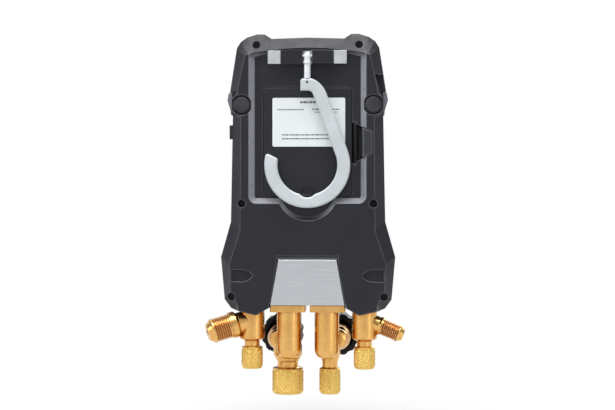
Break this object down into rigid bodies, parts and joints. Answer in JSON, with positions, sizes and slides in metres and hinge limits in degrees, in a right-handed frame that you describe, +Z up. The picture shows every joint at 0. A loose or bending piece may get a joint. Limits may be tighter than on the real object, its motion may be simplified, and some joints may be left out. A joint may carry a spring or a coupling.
{
  "type": "refrigerant manifold gauge",
  "caption": "Digital refrigerant manifold gauge with a folding suspension hook, valve knobs on the display side and brass flare ports with knurled caps along its lower edge.",
  "frame": {"origin": "centre of the suspension hook's hinge, in the plane of the casing's back rails", "axes": "+Z up the tool, +Y from its back to its display side, +X to the right of someone who looks at its back"},
  "size_m": [0.1304, 0.0733, 0.2358],
  "materials": {
    "casing": "fine moulded texture",
    "casing_dark": "fine moulded texture",
    "hook_metal": "satin powder coat",
    "steel": "turned",
    "black_steel": "blackened",
    "strap_steel": "satin",
    "rubber": "matte",
    "label": "satin film",
    "battery": "shrink sleeve",
    "aluminium": "milled",
    "brushed_plate": "brushed across",
    "brass": "turned",
    "cap_brass": "knurled",
    "knob_black": "matte",
    "knob_blue": "matte",
    "knob_red": "matte",
    "lens": "clear window",
    "lcd": "display",
    "board": "solder mask",
    "keys": "moulded",
    "sight_glass": "clear"
  },
  "bodies": {
    "manifold": {"battery_cells": "battery", "battery_contacts": "steel", "battery_door": "casing", "block_back_plate": "brushed_plate", "case_gasket": "rubber", "case_screws": "black_steel", "display_lens": "lens", "front_casing": "casing_dark", "hanger_bracket": "strap_steel", "hanger_bridge": "casing_dark", "hinge_axle": "steel", "label_plate": "label", "lcd_module": "lcd", "left_centre_port": "brass", "left_side_port": "brass", "main_board": "board", "manifold_block": "aluminium", "pressure_sensors": "steel", "probe_cover_anchors": "rubber", "probe_sockets": "steel", "rear_casing": "casing", "right_centre_port": "brass", "right_side_port": "brass", "side_port_socket": "steel", "sight_glass": "sight_glass", "sight_glass_ring": "brass", "valve_bonnets": "brass"},
    "door_latch": {"door_latch": "casing"},
    "high_valve": {"high_valve_knob": "knob_red", "high_valve_spindle": "brass"},
    "high_valve_plunger": {"high_valve_plunger": "steel"},
    "hook": {"hook": "hook_metal", "hook_pin": "steel", "swivel_stud": "hook_metal"},
    "key_down": {"key_down": "keys"},
    "key_left": {"key_left": "keys"},
    "key_power": {"key_power": "keys"},
    "key_right": {"key_right": "keys"},
    "key_up": {"key_up": "keys"},
    "left_centre_cap": {"left_centre_cap": "cap_brass"},
    "left_centre_cap_seal": {"left_centre_cap_seal": "rubber"},
    "left_side_cap": {"left_side_cap": "cap_brass"},
    "left_side_cap_seal": {"left_side_cap_seal": "rubber"},
    "low_valve": {"low_valve_knob": "knob_blue", "low_valve_spindle": "brass"},
    "low_valve_plunger": {"low_valve_plunger": "steel"},
    "probe_cover_left": {"probe_cover_left": "rubber"},
    "probe_cover_right": {"probe_cover_right": "rubber"},
    "refrigerant_valve": {"refrigerant_valve_knob": "knob_black", "refrigerant_valve_spindle": "brass"},
    "refrigerant_valve_plunger": {"refrigerant_valve_plunger": "steel"},
    "right_centre_cap": {"right_centre_cap": "cap_brass"},
    "right_centre_cap_seal": {"right_centre_cap_seal": "rubber"},
    "right_side_cap": {"right_side_cap": "cap_brass"},
    "right_side_cap_seal": {"right_side_cap_seal": "rubber"},
    "side_port_plug": {"side_port_plug": "rubber"},
    "vacuum_valve": {"vacuum_valve_knob": "knob_black", "vacuum_valve_spindle": "brass"},
    "vacuum_valve_plunger": {"vacuum_valve_plunger": "steel"}
  },
  "joints": [
    {"name": "hook_fold", "type": "hinge", "parent": "manifold", "child": "hook", "pos_m": [0, 0, 0], "axis": [-1, 0, 0], "range_deg": [0, 180]},
    {"name": "door_latch_lift", "type": "hinge", "parent": "manifold", "child": "door_latch", "pos_m": [0.0306, 0.0047, -0.056], "axis": [0, 0, -1], "range_deg": [0, 16]},
    {"name": "probe_cover_right_open", "type": "hinge", "parent": "manifold", "child": "probe_cover_right", "pos_m": [0.0492, 0.0022, -0.0306], "axis": [0, 0, -1], "range_deg": [0, 100]},
    {"name": "probe_cover_left_open", "type": "hinge", "parent": "manifold", "child": "probe_cover_left", "pos_m": [-0.0492, 0.0022, -0.0306], "axis": [0, 0, 1], "range_deg": [0, 100]},
    {"name": "side_port_plug_pull", "type": "slide", "parent": "manifold", "child": "side_port_plug", "axis": [-1, 0, 0], "range_m": [0, 0.007]},
    {"name": "key_down_press", "type": "slide", "parent": "manifold", "child": "key_down", "axis": [0, -1, 0], "range_m": [0, 0.0008], "stiffness_N_per_m": 400},
    {"name": "key_left_press", "type": "slide", "parent": "manifold", "child": "key_left", "axis": [0, -1, 0], "range_m": [0, 0.0008], "stiffness_N_per_m": 400},
    {"name": "key_power_press", "type": "slide", "parent": "manifold", "child": "key_power", "axis": [0, -1, 0], "range_m": [0, 0.0008], "stiffness_N_per_m": 400},
    {"name": "key_right_press", "type": "slide", "parent": "manifold", "child": "key_right", "axis": [0, -1, 0], "range_m": [0, 0.0008], "stiffness_N_per_m": 400},
    {"name": "key_up_press", "type": "slide", "parent": "manifold", "child": "key_up", "axis": [0, -1, 0], "range_m": [0, 0.0008], "stiffness_N_per_m": 400},
    {"name": "low_valve_turn", "type": "hinge", "parent": "manifold", "child": "low_valve", "pos_m": [0.037, 0.05, -0.142], "axis": [0, 1, 0], "range_deg": [0, 720]},
    {"name": "low_plunger_lift", "type": "slide", "parent": "manifold", "child": "low_valve_plunger", "axis": [0, 1, 0], "range_m": [0, 0.003]},
    {"name": "high_valve_turn", "type": "hinge", "parent": "manifold", "child": "high_valve", "pos_m": [-0.037, 0.05, -0.142], "axis": [0, 1, 0], "range_deg": [0, 720]},
    {"name": "high_plunger_lift", "type": "slide", "parent": "manifold", "child": "high_valve_plunger", "axis": [0, 1, 0], "range_m": [0, 0.003]},
    {"name": "vacuum_valve_turn", "type": "hinge", "parent": "manifold", "child": "vacuum_valve", "pos_m": [-0.0194, 0.05, -0.184], "axis": [0, 1, 0], "range_deg": [0, 720]},
    {"name": "vacuum_plunger_lift", "type": "slide", "parent": "manifold", "child": "vacuum_valve_plunger", "axis": [0, 1, 0], "range_m": [0, 0.003]},
    {"name": "refrigerant_valve_turn", "type": "hinge", "parent": "manifold", "child": "refrigerant_valve", "pos_m": [0.0194, 0.05, -0.184], "axis": [0, 1, 0], "range_deg": [0, 720]},
    {"name": "refrigerant_plunger_lift", "type": "slide", "parent": "manifold", "child": "refrigerant_valve_plunger", "axis": [0, 1, 0], "range_m": [0, 0.003]},
    {"name": "left_side_cap_leave", "type": "slide", "parent": "manifold", "child": "left_side_cap_seal", "axis": [0, 0, -1], "range_m": [0, 0.01016]},
    {"name": "left_side_cap_turn", "type": "hinge", "parent": "left_side_cap_seal", "child": "left_side_cap", "pos_m": [-0.0368, 0.013, -0.2], "axis": [0, 0, -1], "range_deg": [0, 2880]},
    {"name": "right_side_cap_leave", "type": "slide", "parent": "manifold", "child": "right_side_cap_seal", "axis": [0, 0, -1], "range_m": [0, 0.01016]},
    {"name": "right_side_cap_turn", "type": "hinge", "parent": "right_side_cap_seal", "child": "right_side_cap", "pos_m": [0.0368, 0.013, -0.2], "axis": [0, 0, -1], "range_deg": [0, 2880]},
    {"name": "left_centre_cap_leave", "type": "slide", "parent": "manifold", "child": "left_centre_cap_seal", "axis": [0, 0, -1], "range_m": [0, 0.0127]},
    {"name": "left_centre_cap_turn", "type": "hinge", "parent": "left_centre_cap_seal", "child": "left_centre_cap", "pos_m": [-0.0139, 0.022, -0.2], "axis": [0, 0, -1], "range_deg": [0, 3240]},
    {"name": "right_centre_cap_leave", "type": "slide", "parent": "manifold", "child": "right_centre_cap_seal", "axis": [0, 0, -1], "range_m": [0, 0.0127]},
    {"name": "right_centre_cap_turn", "type": "hinge", "parent": "right_centre_cap_seal", "child": "right_centre_cap", "pos_m": [0.0139, 0.022, -0.2], "axis": [0, 0, -1], "range_deg": [0, 3600]}
  ],
  "couplings": [
    {"joint": "low_plunger_lift", "follows": "low_valve_turn", "m_per_rad": 0.00023873},
    {"joint": "high_plunger_lift", "follows": "high_valve_turn", "m_per_rad": 0.00023873},
    {"joint": "vacuum_plunger_lift", "follows": "vacuum_valve_turn", "m_per_rad": 0.00023873},
    {"joint": "refrigerant_plunger_lift", "follows": "refrigerant_valve_turn", "m_per_rad": 0.00023873},
    {"joint": "left_side_cap_leave", "follows": "left_side_cap_turn", "m_per_rad": 0.00020213},
    {"joint": "right_side_cap_leave", "follows": "right_side_cap_turn", "m_per_rad": 0.00020213},
    {"joint": "left_centre_cap_leave", "follows": "left_centre_cap_turn", "m_per_rad": 0.00022459},
    {"joint": "right_centre_cap_leave", "follows": "right_centre_cap_turn", "m_per_rad": 0.00020213}
  ]
}
